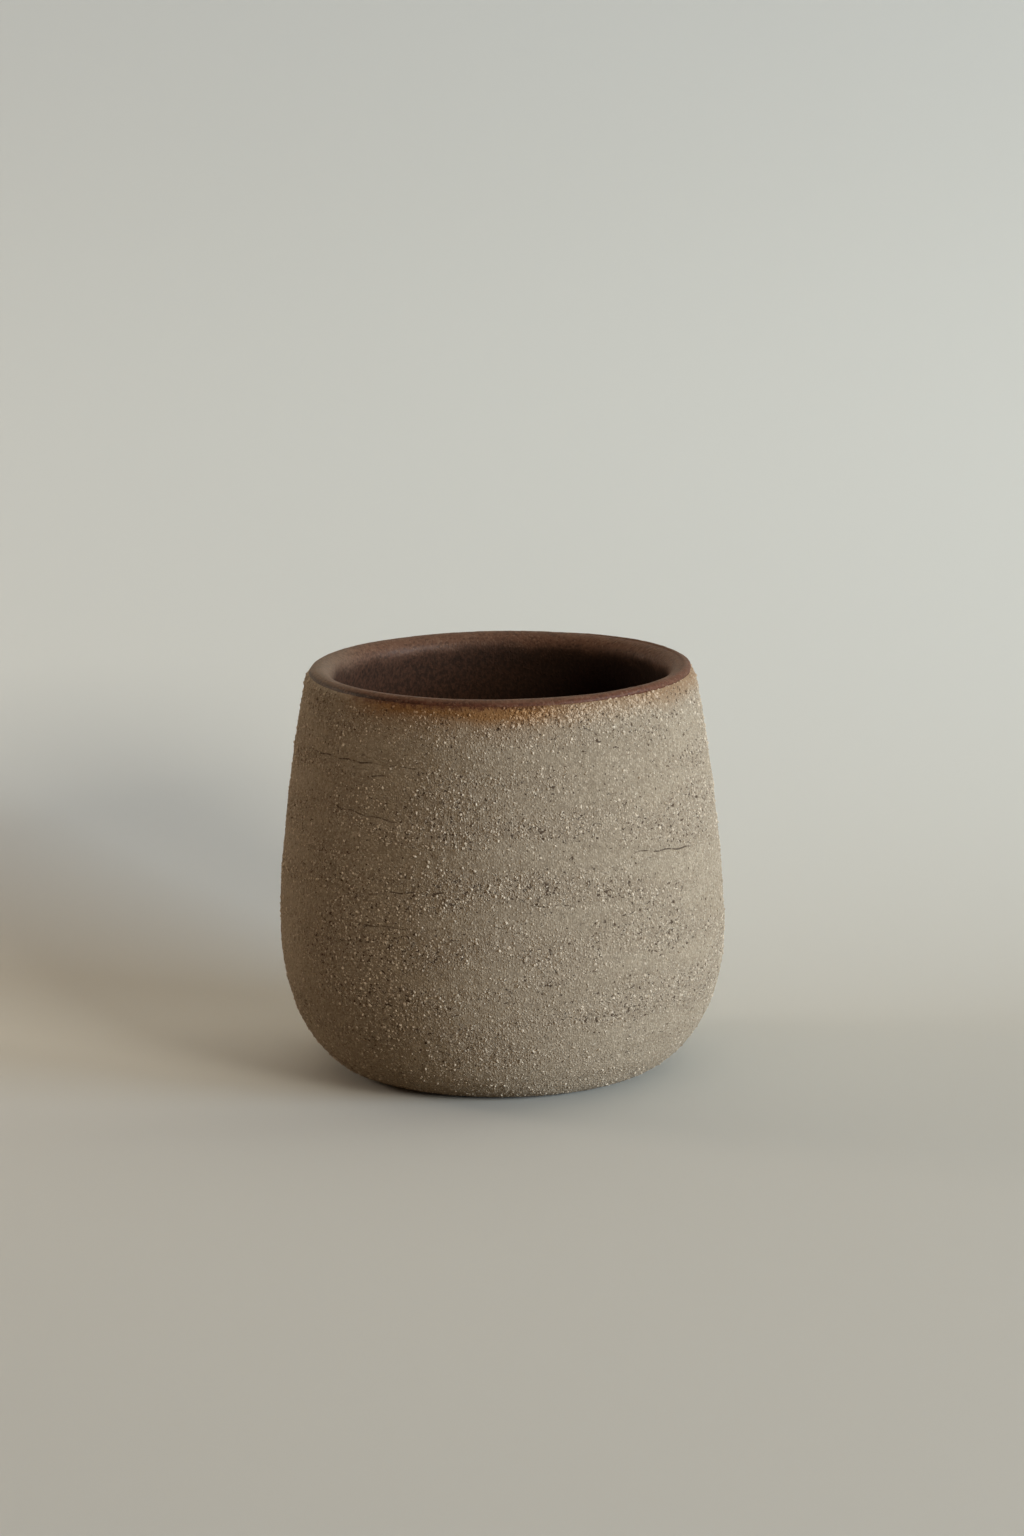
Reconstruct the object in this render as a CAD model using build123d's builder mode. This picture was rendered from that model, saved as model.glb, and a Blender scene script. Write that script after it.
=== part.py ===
"""Handleless stoneware drinking cup: a thrown clay body and the glaze coat that lines it.

Millimetres, +Z up. The origin is on the cup's axis, in the plane that the foot ring stands on.
Both pieces are bodies of revolution, so each is one section in the XZ plane turned about Z.
In a section the first coordinate is the radius and the second is the height.
"""

import os
from math import cos, radians, sin

from build123d import *

# Outside of the clay body
BELLY_DIAMETER = 86.0
BELLY_HEIGHT = 27.6
FOOT_DIAMETER = 50.0
LIP_CENTRE_DIAMETER = 70.5
CLAY_HEIGHT = 78.5
LIP_LEAN = 11.4
BELLY_HANDLE = 13.2
LIP_HANDLE = 14.2

# Walls of the clay body
LIP_THICKNESS = 4.6
BELLY_WALL = 5.0
FLOOR_THICKNESS = 6.5
INNER_FLOOR_DIAMETER = 38.0

# Trimmed recess inside the foot ring
FOOT_RING_WIDTH = 5.0
RECESS_DEPTH = 1.6
RECESS_ROUND = 1.0
FOOT_EDGE_ROUND = 0.5

# Glaze coat
GLAZE_THICKNESS = 0.5
GLAZE_POOL = 1.0
GLAZE_LINE_ANGLE = 42.0
GLAZE_EDGE_ROUND = 0.35

# Sizes that follow from the ones above
BELLY_RADIUS = BELLY_DIAMETER / 2
FOOT_RADIUS = FOOT_DIAMETER / 2
INNER_FLOOR_RADIUS = INNER_FLOOR_DIAMETER / 2
RECESS_RADIUS = FOOT_RADIUS - FOOT_RING_WIDTH
LIP_RADIUS = LIP_THICKNESS / 2
GLAZED_LIP_RADIUS = LIP_RADIUS + GLAZE_THICKNESS
LIP_CENTRE = Vector(LIP_CENTRE_DIAMETER / 2, CLAY_HEIGHT - LIP_RADIUS)
GLAZED_ARC = 180 + LIP_LEAN - GLAZE_LINE_ANGLE


def direction(angle):
    """Unit vector in the section, at an angle in degrees up from the outward radius."""
    return Vector(cos(radians(angle)), sin(radians(angle)))


def wall_curve(belly_radius, lip_end):
    """Draw the wall from the belly, where it stands upright, to the lip, where it leans in."""
    belly = Vector(belly_radius, BELLY_HEIGHT)
    upright = Vector(0, BELLY_HANDLE)
    leaning = direction(LIP_LEAN + 90) * LIP_HANDLE
    Bezier(belly, belly + upright, lip_end - leaning, lip_end)


def base_curve(flat_radius, flat_height, belly_radius):
    """Draw the quarter ellipse that rounds a flat base up into the belly."""
    EllipticalCenterArc(
        (flat_radius, BELLY_HEIGHT),
        belly_radius - flat_radius,
        BELLY_HEIGHT - flat_height,
        start_angle=-90,
        arc_size=90,
    )


def inside_line(coat, pool):
    """Draw the inside from the lip's inner edge down to the axis, under a coat and a pool of glaze."""
    belly_radius = BELLY_RADIUS - BELLY_WALL - coat
    floor_height = FLOOR_THICKNESS + pool
    wall_curve(belly_radius, LIP_CENTRE - direction(LIP_LEAN) * (LIP_RADIUS + coat))
    base_curve(INNER_FLOOR_RADIUS, floor_height, belly_radius)
    Line((INNER_FLOOR_RADIUS, floor_height), (0, floor_height))


# Clay body: foot ring round a trimmed recess, rounded belly, leaning wall and half-round lip
with BuildPart() as stoneware_body:
    with BuildSketch(Plane.XZ) as clay_section:
        with BuildLine():
            Polyline(
                (0, FLOOR_THICKNESS),
                (0, RECESS_DEPTH),
                (RECESS_RADIUS, RECESS_DEPTH),
                (RECESS_RADIUS, 0),
                (FOOT_RADIUS, 0),
            )
            base_curve(FOOT_RADIUS, 0, BELLY_RADIUS)
            wall_curve(BELLY_RADIUS, LIP_CENTRE + direction(LIP_LEAN) * LIP_RADIUS)
            CenterArc(LIP_CENTRE, LIP_RADIUS, LIP_LEAN, 180)
            inside_line(coat=0, pool=0)
        make_face()
        recess_corner = clay_section.vertices().sort_by_distance((RECESS_RADIUS, RECESS_DEPTH))[0]
        fillet(recess_corner, RECESS_ROUND)
        foot_edge = clay_section.vertices().sort_by_distance((RECESS_RADIUS, 0))[0]
        fillet(foot_edge, FOOT_EDGE_ROUND)
    revolve(axis=Axis.Z)
stoneware_body.part.label = "stoneware_body"

# Glaze coat: one skin of glass over the whole inside, the lip's crown and its outer shoulder
with BuildPart() as glaze_lining:
    with BuildSketch(Plane.XZ) as glaze_section:
        with BuildLine():
            clay_end = LIP_CENTRE + direction(GLAZE_LINE_ANGLE) * LIP_RADIUS
            glaze_end = LIP_CENTRE + direction(GLAZE_LINE_ANGLE) * GLAZED_LIP_RADIUS
            CenterArc(LIP_CENTRE, LIP_RADIUS, GLAZE_LINE_ANGLE, GLAZED_ARC)
            inside_line(coat=0, pool=0)
            Line((0, FLOOR_THICKNESS), (0, FLOOR_THICKNESS + GLAZE_POOL))
            inside_line(coat=GLAZE_THICKNESS, pool=GLAZE_POOL)
            CenterArc(LIP_CENTRE, GLAZED_LIP_RADIUS, GLAZE_LINE_ANGLE, GLAZED_ARC)
            Line(clay_end, glaze_end)
        make_face()
        glaze_edge = glaze_section.vertices().sort_by_distance(glaze_end)[0]
        fillet(glaze_edge, GLAZE_EDGE_ROUND)
    revolve(axis=Axis.Z)
glaze_lining.part.label = "glaze_lining"

os.makedirs("parts", exist_ok=True)
for piece in (stoneware_body.part, glaze_lining.part):
    export_step(piece, f"parts/{piece.label}.step")
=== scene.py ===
"""Looks of a handleless stoneware cup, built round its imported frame.

The cup is two fired pieces. The thrown clay body is bare outside, with coarse grog and the lines
of the wheel, and the dark glaze coats its inside and folds over the lip. Sizes of the cup and the
sweep are millimetres, and become Blender's metres where points are made. Lamps are in metres.
"""

import logging
import math
import random
from collections.abc import Iterator
from contextlib import contextmanager
from dataclasses import dataclass, field
from enum import Enum
from itertools import pairwise

import bpy
from mathutils import Euler, Matrix, Vector, kdtree, noise


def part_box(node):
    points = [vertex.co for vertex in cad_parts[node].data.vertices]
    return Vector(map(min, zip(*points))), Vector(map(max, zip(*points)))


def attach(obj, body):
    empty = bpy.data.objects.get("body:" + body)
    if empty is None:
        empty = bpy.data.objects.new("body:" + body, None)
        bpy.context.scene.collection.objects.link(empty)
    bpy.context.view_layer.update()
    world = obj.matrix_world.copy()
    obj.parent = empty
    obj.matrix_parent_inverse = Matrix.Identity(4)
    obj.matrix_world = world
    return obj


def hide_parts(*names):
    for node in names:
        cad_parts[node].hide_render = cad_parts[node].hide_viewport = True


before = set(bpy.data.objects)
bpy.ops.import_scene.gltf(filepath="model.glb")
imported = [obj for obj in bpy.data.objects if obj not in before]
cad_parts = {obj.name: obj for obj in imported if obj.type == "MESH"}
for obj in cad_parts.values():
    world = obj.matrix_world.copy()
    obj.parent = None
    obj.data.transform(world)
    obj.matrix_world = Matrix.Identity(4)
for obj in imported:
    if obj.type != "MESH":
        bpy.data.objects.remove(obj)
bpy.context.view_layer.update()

MM = 0.001
TINY = 1e-6
BODY = "root"
BAKE_MAP = "OFBake"
LOG = logging.getLogger("stoneware_cup")

Colour = tuple[float, float, float, float]
Span = tuple[float, float]
Piece = bpy.types.Object
Mesh = bpy.types.Mesh
Face = bpy.types.MeshPolygon
Material = bpy.types.Material
Tree = bpy.types.NodeTree
Node = bpy.types.Node
Outputs = bpy.types.NodeOutputs
Socket = bpy.types.NodeSocket
Number = Socket | float
Inputs = dict[str | int, object]


def colour(red: float, green: float, blue: float) -> Colour:
    """Linear colour with a full alpha."""
    return (red, green, blue, 1.0)


def smooth(value: float, low: float, high: float) -> float:
    """Smooth step of a value, from 0 at low to 1 at high."""
    share = min(1.0, max(0.0, (value - low) / (high - low)))
    return share * share * (3.0 - 2.0 * share)


def spot(radius: float, height: float) -> Vector:
    """Point of a section, at a radius and a height."""
    return Vector((radius, 0.0, height))


def direction(angle: float) -> Vector:
    """Unit vector of a section, at an angle in degrees up from the outward radius."""
    turn = math.radians(angle)
    return spot(math.cos(turn), math.sin(turn))


def turn_of(point: Vector) -> float:
    """Angle of a point round the cup from its front to the right, in degrees."""
    return math.degrees(math.atan2(point.x, -point.y))


def lengths_along(line: list[Vector]) -> list[float]:
    """Measures a line.

    Args:
        line: Points of the line.

    Returns:
        Length of the line up to each of its points.
    """
    reached = [0.0]
    for here, there in pairwise(line):
        reached.append(reached[-1] + (there - here).length)
    return reached


def even_points(line: list[Vector], spacing: float) -> list[Vector]:
    """Spaces points evenly along a line and keeps both its ends.

    Args:
        line: Points of the line.
        spacing: Distance wanted between points.

    Returns:
        The new points.
    """
    reached = lengths_along(line)
    count = max(1, round(reached[-1] / spacing))
    points = []
    span = 0
    for step in range(count + 1):
        target = reached[-1] * step / count
        while span < len(line) - 2 and reached[span + 1] < target:
            span += 1
        share = (target - reached[span]) / (reached[span + 1] - reached[span])
        points.append(line[span].lerp(line[span + 1], share))
    return points


def note(mesh: Mesh, name: str, values: list[float]) -> None:
    """Keeps a value for each point of a mesh, as an attribute that a finish reads."""
    mesh.attributes.new(name, "FLOAT", "POINT").data.foreach_set("value", values)


@contextmanager
def editing() -> Iterator[None]:
    """Opens the active piece in edit mode with all of it selected, and closes it again."""
    bpy.ops.object.mode_set(mode="EDIT")
    bpy.ops.mesh.select_all(action="SELECT")
    yield
    bpy.ops.object.mode_set(mode="OBJECT")


def close_seams() -> None:
    """Merges the doubles of the active piece and turns its faces outward."""
    with editing():
        bpy.ops.mesh.remove_doubles(threshold=TINY)
        bpy.ops.mesh.normals_make_consistent(inside=False)


def pick(piece: Piece) -> None:
    """Selects one piece alone and makes it active.

    Args:
        piece: The piece.
    """
    bpy.ops.object.select_all(action="DESELECT")
    piece.select_set(True)
    bpy.context.view_layer.objects.active = piece


def apply_modifier(piece: Piece, kind: str, **settings: object) -> None:
    """Puts a modifier on a piece and applies it.

    Args:
        piece: The piece.
        kind: Blender's name for the modifier.
        settings: Properties of the modifier.
    """
    pick(piece)
    modifier = piece.modifiers.new(kind, kind)
    for name, value in settings.items():
        setattr(modifier, name, value)
    bpy.ops.object.modifier_apply(modifier=modifier.name)


def seat_on_frame(piece: Piece, material: Material) -> None:
    """Gives a piece its finish and its place on the frame, and reports it.

    Args:
        piece: The piece.
        material: Its finish.
    """
    piece.data.materials.append(material)
    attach(piece, BODY)
    piece.data.calc_loop_triangles()
    LOG.info("%s: %d triangles", piece.name, len(piece.data.loop_triangles))


class Zone(Enum):
    """Stretches of a section, in the order in which the line is drawn."""

    UNDERSIDE = "underside"
    WALL = "wall"
    LIP = "lip"
    INSIDE = "inside"
    BACK = "back"


@dataclass(frozen=True)
class CupSection:
    """Half section of the cup: x is the radius and z the height, in millimetres."""

    belly_radius: float
    clay_height: float
    crown_height: float
    belly_height: float = 27.6
    foot_radius: float = 25.0
    lip_centre_radius: float = 35.25
    lip_radius: float = 2.3
    lip_lean: float = 11.4
    belly_handle: float = 13.2
    lip_handle: float = 14.2
    belly_wall: float = 5.0
    floor_thickness: float = 6.5
    inner_floor_radius: float = 19.0
    recess_radius: float = 20.0
    recess_depth: float = 1.6
    recess_round: float = 1.0
    foot_edge_round: float = 0.5
    glaze_pool: float = 1.0
    glaze_line_angle: float = 42.0
    glaze_lift: float = 0.6
    lift_reach: Span = (7.05, 28.2)
    curve_steps: int = 160
    recess_spacing: float = 4.0
    recess_round_spacing: float = 0.5
    foot_round_spacing: float = 0.3
    foot_spacing: float = 1.2

    @classmethod
    def from_frame(cls) -> "CupSection":
        """Takes the overall sizes from the packed clay and glaze.

        Returns:
            The section.
        """
        clay_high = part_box("stoneware_body")[1]
        glaze_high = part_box("glaze_lining")[1]
        return cls(clay_high.x / MM, clay_high.z / MM, glaze_high.z / MM)

    @property
    def glaze_thickness(self) -> float:
        """Thickness of the glaze coat on the lip's crown."""
        return self.crown_height - self.clay_height

    @property
    def lip_centre(self) -> Vector:
        """Centre of the half-round lip."""
        return spot(self.lip_centre_radius, self.clay_height - self.lip_radius)

    @property
    def glaze_line_height(self) -> float:
        """Height at which the glaze ends on the lip's outer shoulder."""
        return self.on_lip(self.lip_radius, self.glaze_line_angle).z

    def lift_at(self, point: Vector) -> float:
        """How much higher the glaze stops at a point of the mesh, towards the cup's right."""
        return self.glaze_lift * smooth(point.x / MM, *self.lift_reach)

    def on_lip(self, radius: float, angle: float) -> Vector:
        """Point about the lip's centre, at an angle in degrees up from the outward radius."""
        return self.lip_centre + radius * direction(angle)

    def arc(self, centre: Vector, radius: float, start: float, sweep: float) -> list[Vector]:
        """Points of a circular arc, from a start angle over a sweep in degrees."""
        shares = [step / self.curve_steps for step in range(self.curve_steps + 1)]
        return [centre + radius * direction(start + sweep * share) for share in shares]

    def base_curve(self, flat_radius: float, flat_height: float, belly_radius: float) -> list[Vector]:
        """Draws the quarter ellipse that rounds a flat base up into the belly.

        Args:
            flat_radius: Radius of the flat base.
            flat_height: Height of the flat base.
            belly_radius: Radius of the belly.

        Returns:
            Points from the base upwards.
        """
        width = belly_radius - flat_radius
        rise = self.belly_height - flat_height
        quarter = self.arc(Vector(), 1.0, -90.0, 90.0)
        return [spot(flat_radius + width * turn.x, self.belly_height + rise * turn.z) for turn in quarter]

    def wall_curve(self, belly_radius: float, lip_end: Vector) -> list[Vector]:
        """Draws the wall from the belly, where it stands upright, to the lip, where it leans in.

        Args:
            belly_radius: Radius of the belly.
            lip_end: Where the wall meets the lip.

        Returns:
            Points from the belly upwards.
        """
        belly = spot(belly_radius, self.belly_height)
        above = belly + spot(0.0, self.belly_handle)
        below = lip_end - self.lip_handle * direction(self.lip_lean + 90)
        points = []
        for step in range(self.curve_steps + 1):
            share = step / self.curve_steps
            middle = above.lerp(below, share)
            first = belly.lerp(above, share).lerp(middle, share)
            second = middle.lerp(below.lerp(lip_end, share), share)
            points.append(first.lerp(second, share))
        return points

    def underside(self) -> list[Vector]:
        """Draws the foot from the axis, over the recess and the ring, to the edge of the wall.

        Returns:
            Points from the axis outwards.
        """
        corner = spot(self.recess_radius - self.recess_round, self.recess_depth - self.recess_round)
        edge = spot(self.recess_radius + self.foot_edge_round, self.foot_edge_round)
        recess = [spot(0.0, self.recess_depth), spot(corner.x, self.recess_depth)]
        ring = [spot(edge.x, 0.0), spot(self.foot_radius, 0.0)]
        corner_arc = self.arc(corner, self.recess_round, 90, -90)
        return [
            *even_points(recess, self.recess_spacing),
            *even_points(corner_arc, self.recess_round_spacing)[1:],
            *even_points(self.arc(edge, self.foot_edge_round, 180, 90), self.foot_round_spacing),
            *even_points(ring, self.foot_spacing)[1:-1],
        ]

    def outside(self, spacing: float) -> list[Vector]:
        """Draws the outer wall from the foot ring to the glaze line on the lip.

        Args:
            spacing: Distance wanted between points.

        Returns:
            Points from the foot upwards.
        """
        shoulder = self.on_lip(self.lip_radius, self.lip_lean)
        sweep = self.glaze_line_angle - self.lip_lean
        line = [
            *self.base_curve(self.foot_radius, 0.0, self.belly_radius),
            *self.wall_curve(self.belly_radius, shoulder)[1:],
            *self.arc(self.lip_centre, self.lip_radius, self.lip_lean, sweep)[1:],
        ]
        return even_points(line, spacing)

    def lip(self, coat: float, spacing: float, start: float) -> list[Vector]:
        """Lip with a coat on it, from an angle on its outer shoulder over the crown to its inner edge."""
        sweep = 180 + self.lip_lean - start
        return even_points(self.arc(self.lip_centre, self.lip_radius + coat, start, sweep), spacing)

    def inside(self, coat: float, pool: float, spacing: float) -> list[Vector]:
        """Draws the inside from the lip's inner edge down to the axis.

        Args:
            coat: Thickness of the coat on its wall.
            pool: Thickness of the coat on its floor.
            spacing: Distance wanted between points.

        Returns:
            Points from the lip downwards.
        """
        belly = self.belly_radius - self.belly_wall - coat
        floor = self.floor_thickness + pool
        edge = self.on_lip(self.lip_radius + coat, self.lip_lean + 180)
        line = [
            *reversed(self.wall_curve(belly, edge)),
            *list(reversed(self.base_curve(self.inner_floor_radius, floor, belly)))[1:],
            spot(0.0, floor),
        ]
        return even_points(line, spacing)


class Graph:
    """Adds nodes to one node tree and joins them."""

    def __init__(self, tree: Tree) -> None:
        """Starts on an emptied tree."""
        self.tree = tree
        tree.nodes.clear()

    def node(self, kind: str, inputs: Inputs | None = None, **settings: object) -> Node:
        """Adds a node.

        Args:
            kind: Blender's name for the node.
            inputs: Values or sockets for its inputs, by name or number.
            settings: Properties of the node.

        Returns:
            The new node.
        """
        made = self.tree.nodes.new(kind)
        for name, value in settings.items():
            setattr(made, name, value)
        for name, value in (inputs or {}).items():
            if isinstance(value, Socket):
                self.tree.links.new(value, made.inputs[name])
            else:
                made.inputs[name].default_value = value
        return made

    def calc(self, operation: str, *values: Number) -> Socket:
        """Result of a Math node."""
        return self.node("ShaderNodeMath", dict(enumerate(values)), operation=operation).outputs[0]

    def times(self, first: Number, second: Number) -> Socket:
        """Product of two values."""
        return self.calc("MULTIPLY", first, second)

    def plus(self, first: Number, second: Number) -> Socket:
        """Sum of two values."""
        return self.calc("ADD", first, second)

    def minus(self, first: Number, second: Number) -> Socket:
        """Difference of two values."""
        return self.calc("SUBTRACT", first, second)

    def rising(self, share: Socket, least: float, rise: float) -> Socket:
        """A least value and a share of a rise above it."""
        return self.calc("MULTIPLY_ADD", share, rise, least)

    def wander(self, level: Socket, patches: Socket, reach: float) -> Socket:
        """A level that patches move up and down, over a reach in millimetres."""
        return self.plus(level, self.times(self.minus(patches, 0.5), reach * MM))

    def grade(self, value: Socket, low: Number, high: Number, start: float = 0.0, end: float = 1.0) -> Socket:
        """Smooth step of a value, from start at low to end at high."""
        inputs = {"Value": value, "From Min": low, "From Max": high, "To Min": start, "To Max": end}
        return self.node("ShaderNodeMapRange", inputs, interpolation_type="SMOOTHSTEP").outputs[0]

    def reach(
        self, value: Socket, ends: Span, start: float = 0.0, end: float = 1.0, about: float = 0.0
    ) -> Socket:
        """Smooth step of a place, between two ends in millimetres about a level."""
        return self.grade(value, (about + ends[0]) * MM, (about + ends[1]) * MM, start, end)

    def layers(self, base: Socket | Colour, *coats: tuple[Socket, Socket | Colour]) -> Socket:
        """Lays coats of colour over a base.

        Args:
            base: Colour of the base.
            coats: Share and colour of each coat, from the lowest up.

        Returns:
            The colour on top.
        """
        for share, coat in coats:
            base = self.node("ShaderNodeMix", {0: share, 6: base, 7: coat}, data_type="RGBA").outputs[2]
        return base

    def vector(self, operation: str, inputs: Inputs) -> Outputs:
        """Results of a Vector Math node."""
        return self.node("ShaderNodeVectorMath", inputs, operation=operation).outputs

    def axes(self, place: Socket) -> Outputs:
        """The three parts of a place."""
        return self.node("ShaderNodeSeparateXYZ", {0: place}).outputs

    def noted(self, name: str) -> Socket:
        """A value that the mesh keeps for each of its points."""
        return self.node("ShaderNodeAttribute", attribute_name=name).outputs["Fac"]

    def here(self) -> Socket:
        """Place on the object."""
        return self.node("ShaderNodeTexCoord").outputs["Object"]

    def seen(self) -> Socket:
        """Whether the camera looks straight at the place."""
        return self.node("ShaderNodeLightPath").outputs["Is Camera Ray"]

    def group(self, tree: Tree, inputs: Inputs) -> Outputs:
        """Results of a shared effect with its own values."""
        return self.node("ShaderNodeGroup", inputs, node_tree=tree).outputs

    def surface(
        self, base: Socket, roughness: Number, height: Socket, relief: float, strength: float = 1.0
    ) -> Node:
        """Adds a shader with a bumped surface, and the output that shows it.

        Args:
            base: Colour of the surface.
            roughness: Its roughness.
            height: Height of the bumps, from 0 to 1.
            relief: Size of a height of 1, in millimetres.
            strength: Strength of the bumps.

        Returns:
            The shader.
        """
        bump = self.node("ShaderNodeBump", {"Strength": strength, "Distance": relief * MM, "Height": height})
        inputs = {"Base Color": base, "Roughness": roughness, "Normal": bump.outputs[0]}
        shader = self.node("ShaderNodeBsdfPrincipled", inputs)
        self.node("ShaderNodeOutputMaterial", {"Surface": shader.outputs[0]})
        return shader


@dataclass(frozen=True)
class Patches:
    """Size of patches that are drawn out along the turning of the wheel, and the detail in them."""

    length: float
    height: float
    detail: float


@dataclass
class SharedEffects:
    """Effects that the finishes are made of, each a node group built once."""

    section: CupSection
    sand_detail: float = 3.0
    sand_roughness: float = 0.6
    grain_reach: Span = (0.8, 0.1)
    bend_scale: float = 1.8
    bend: float = 0.9
    least_spot: float = 0.5
    spot_spread: float = 0.8
    spot_core: float = 0.5
    patch_roughness: float = 0.55
    patch_levels: Span = (0.32, 0.68)
    fringe_edge: Patches = Patches(1.2, 1.2, 2.0)
    fringe_wander: float = 0.6
    fringe_reach: Span = (-0.5, 0.6)
    flash_edge: Patches = Patches(15.0, 8.0, 4.0)
    flash_wander: float = 1.3
    flash_reach: Span = (-4.6, 0.3)
    tight_share: float = 0.85
    wide_share: float = 0.4
    front_way: Span = (-0.3, -0.95)
    front_reach: Span = (27.0, 36.5)
    front_share: float = 0.4
    left_reach: Span = (-34.0, -14.0)
    round_share: float = 0.68
    sand: Tree = field(init=False)
    speckle: Tree = field(init=False)
    drawn_out: Tree = field(init=False)
    flash: Tree = field(init=False)

    def __post_init__(self) -> None:
        """Builds the groups."""
        self.sand = self.build_sand()
        self.speckle = self.build_speckle()
        self.drawn_out = self.build_drawn_out()
        self.flash = self.build_flash()

    @staticmethod
    def start(name: str, inputs: dict[str, str], *outputs: str) -> tuple[Graph, Outputs]:
        """Makes an empty group.

        Args:
            name: Name of the group.
            inputs: Kind of each input socket, by name.
            outputs: Names of its outputs, each a number.

        Returns:
            A graph to fill the group with, and what the group is given.
        """
        tree = bpy.data.node_groups.new(name, "ShaderNodeTree")
        for label, kind in inputs.items():
            tree.interface.new_socket(label, in_out="INPUT", socket_type=f"NodeSocket{kind}")
        for label in outputs:
            tree.interface.new_socket(label, in_out="OUTPUT", socket_type="NodeSocketFloat")
        graph = Graph(tree)
        return graph, graph.node("NodeGroupInput").outputs

    def build_sand(self) -> Tree:
        """Builds fine fired sand: close grains that each have a height and a tone of their own.

        Returns:
            The group.
        """
        graph, given = self.start("fired_sand", {"Vector": "Vector", "Scale": "Float"}, "Height", "Tone")
        shared = {"Vector": given["Vector"], "Scale": given["Scale"]}
        fine = {"Detail": self.sand_detail, "Roughness": self.sand_roughness}
        soft = graph.node("ShaderNodeTexNoise", {**shared, **fine}).outputs[0]
        cells = graph.node("ShaderNodeTexVoronoi", shared).outputs
        tone = graph.node("ShaderNodeSeparateColor", {0: cells["Color"]}).outputs[0]
        grains = graph.times(graph.grade(cells["Distance"], *self.grain_reach), tone)
        height = graph.times(graph.plus(soft, grains), 0.5)
        graph.node("NodeGroupOutput", {"Height": height, "Tone": tone})
        return graph.tree

    def build_speckle(self) -> Tree:
        """Builds scattered spots: a share of the cells of a scatter holds a spot of some size.

        Returns:
            The group.
        """
        inputs = {"Vector": "Vector", "Scale": "Float", "Share": "Float", "Size": "Float"}
        graph, given = self.start("scattered_spots", inputs, "Mask")
        spread = graph.vector("SCALE", {0: given["Vector"], "Scale": given["Scale"]})[0]
        bent = graph.node("ShaderNodeTexNoise", {"Vector": spread, "Scale": self.bend_scale, "Detail": 1.0})
        bend = (self.bend, self.bend, self.bend)
        place = graph.vector("MULTIPLY_ADD", {0: bent.outputs["Color"], 1: bend, 2: spread})[0]
        cells = graph.node("ShaderNodeTexVoronoi", {"Vector": place, "Scale": 1.0}).outputs
        drawn = graph.node("ShaderNodeSeparateColor", {0: cells["Color"]}).outputs
        picked = graph.calc("LESS_THAN", drawn[0], given["Share"])
        size = graph.times(given["Size"], graph.rising(drawn[1], self.least_spot, self.spot_spread))
        mask = graph.grade(cells["Distance"], size, graph.times(size, self.spot_core))
        graph.node("NodeGroupOutput", {"Mask": graph.times(picked, mask)})
        return graph.tree

    def build_drawn_out(self) -> Tree:
        """Builds soft patches drawn out along the turning of the wheel.

        Returns:
            The group.
        """
        inputs = {"Vector": "Vector", "Length": "Float", "Height": "Float", "Detail": "Float"}
        graph, given = self.start("drawn_out_patches", inputs, "Value", "Level")
        length = given["Length"]
        stretch = graph.node("ShaderNodeCombineXYZ", {0: length, 1: length, 2: given["Height"]})
        place = graph.vector("DIVIDE", {0: given["Vector"], 1: stretch.outputs[0]})[0]
        fine = {"Detail": given["Detail"], "Roughness": self.patch_roughness}
        level = graph.node("ShaderNodeTexNoise", {"Vector": place, "Scale": 1.0, **fine}).outputs[0]
        value = graph.grade(level, *self.patch_levels)
        graph.node("NodeGroupOutput", {"Value": value, "Level": level})
        return graph.tree

    def build_flash(self) -> Tree:
        """Builds the scorched fringe at the glaze line and the orange flash that fades below it.

        Returns:
            The group.
        """
        inputs = {"Vector": "Vector", "Height": "Float"}
        graph, given = self.start("glaze_flash", inputs, "Fringe", "Flash")
        place = given["Vector"]
        axes = graph.axes(place)
        line = self.section.glaze_line_height
        across, along = self.front_way
        front = graph.plus(graph.times(axes[0], across), graph.times(axes[1], along))
        near = graph.reach(front, self.front_reach)
        ragged = self.lay_patches(graph, place, self.fringe_edge)["Value"]
        level = graph.plus(axes[2], graph.times(ragged, self.fringe_wander * MM))
        scorch = graph.reach(level, self.fringe_reach, about=line)
        patches = self.lay_patches(graph, place, self.flash_edge)["Value"]
        level = graph.wander(axes[2], patches, self.flash_wander)
        tight = graph.reach(level, self.flash_reach, 0.0, self.tight_share, about=line)
        low = graph.minus(line * MM, given["Height"])
        wide = graph.grade(level, low, line * MM, 0.0, self.wide_share)
        below = graph.plus(tight, graph.times(wide, near))
        left = graph.reach(axes[0], self.left_reach, 0.0, self.round_share)
        side = graph.plus(graph.times(near, self.front_share), left)
        shares = {"Fringe": graph.times(scorch, near), "Flash": graph.times(below, side)}
        graph.node("NodeGroupOutput", shares)
        return graph.tree

    def lay_patches(self, graph: Graph, place: Socket, patches: Patches) -> Outputs:
        """Results of the drawn-out patches at their size."""
        sizes = {"Length": patches.length * MM, "Height": patches.height * MM, "Detail": patches.detail}
        return graph.group(self.drawn_out, {"Vector": place, **sizes})

    def lay_sand(self, graph: Graph, place: Socket, size: float) -> Outputs:
        """Results of the sand, with grains of a size."""
        return graph.group(self.sand, {"Vector": place, "Scale": 1 / (size * MM)})

    def lay_flash(self, graph: Graph, place: Socket, height: float) -> Outputs:
        """Results of the flash, with its height below the glaze line."""
        return graph.group(self.flash, {"Vector": place, "Height": height * MM})


def new_material(name: str) -> tuple[Material, Graph]:
    """Makes an empty node material.

    Args:
        name: Name of the material.

    Returns:
        The material, and a graph to fill it with.
    """
    material = bpy.data.materials.new(name)
    material.use_nodes = True
    return material, Graph(material.node_tree)


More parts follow.
